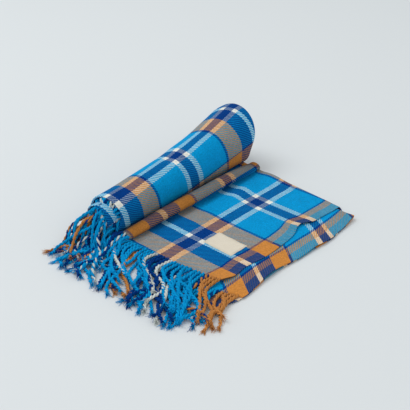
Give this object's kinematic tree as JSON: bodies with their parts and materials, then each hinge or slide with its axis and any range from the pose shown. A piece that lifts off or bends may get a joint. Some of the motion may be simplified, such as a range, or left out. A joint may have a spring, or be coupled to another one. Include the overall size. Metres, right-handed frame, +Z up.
{
  "type": "travel rug",
  "caption": "Plaid wool travel rug, folded lengthwise and part rolled up from one side, with a twisted fringe at its ends and a plain sewn label.",
  "frame": {"origin": "on the floor, under the middle of the flat folded part, on the underside of the lowest layer", "axes": "+Z up; +Y along the roll, from the fringed end to the folded end; +X across the roll, from the roll to the open selvedges"},
  "size_m": [0.4796, 0.5914, 0.1501],
  "materials": {
    "rug_cloth": "brushed wool twill in blue, navy, orange and cream plaid",
    "top_fringe_yarn": "twisted wool yarn",
    "under_fringe_yarn": "twisted wool yarn",
    "label_tape": "woven cream tape"
  },
  "bodies": {
    "root": {"rug": "rug_cloth", "fringe_top": "top_fringe_yarn", "fringe_under": "under_fringe_yarn", "label": "label_tape"}
  },
  "joints": []
}
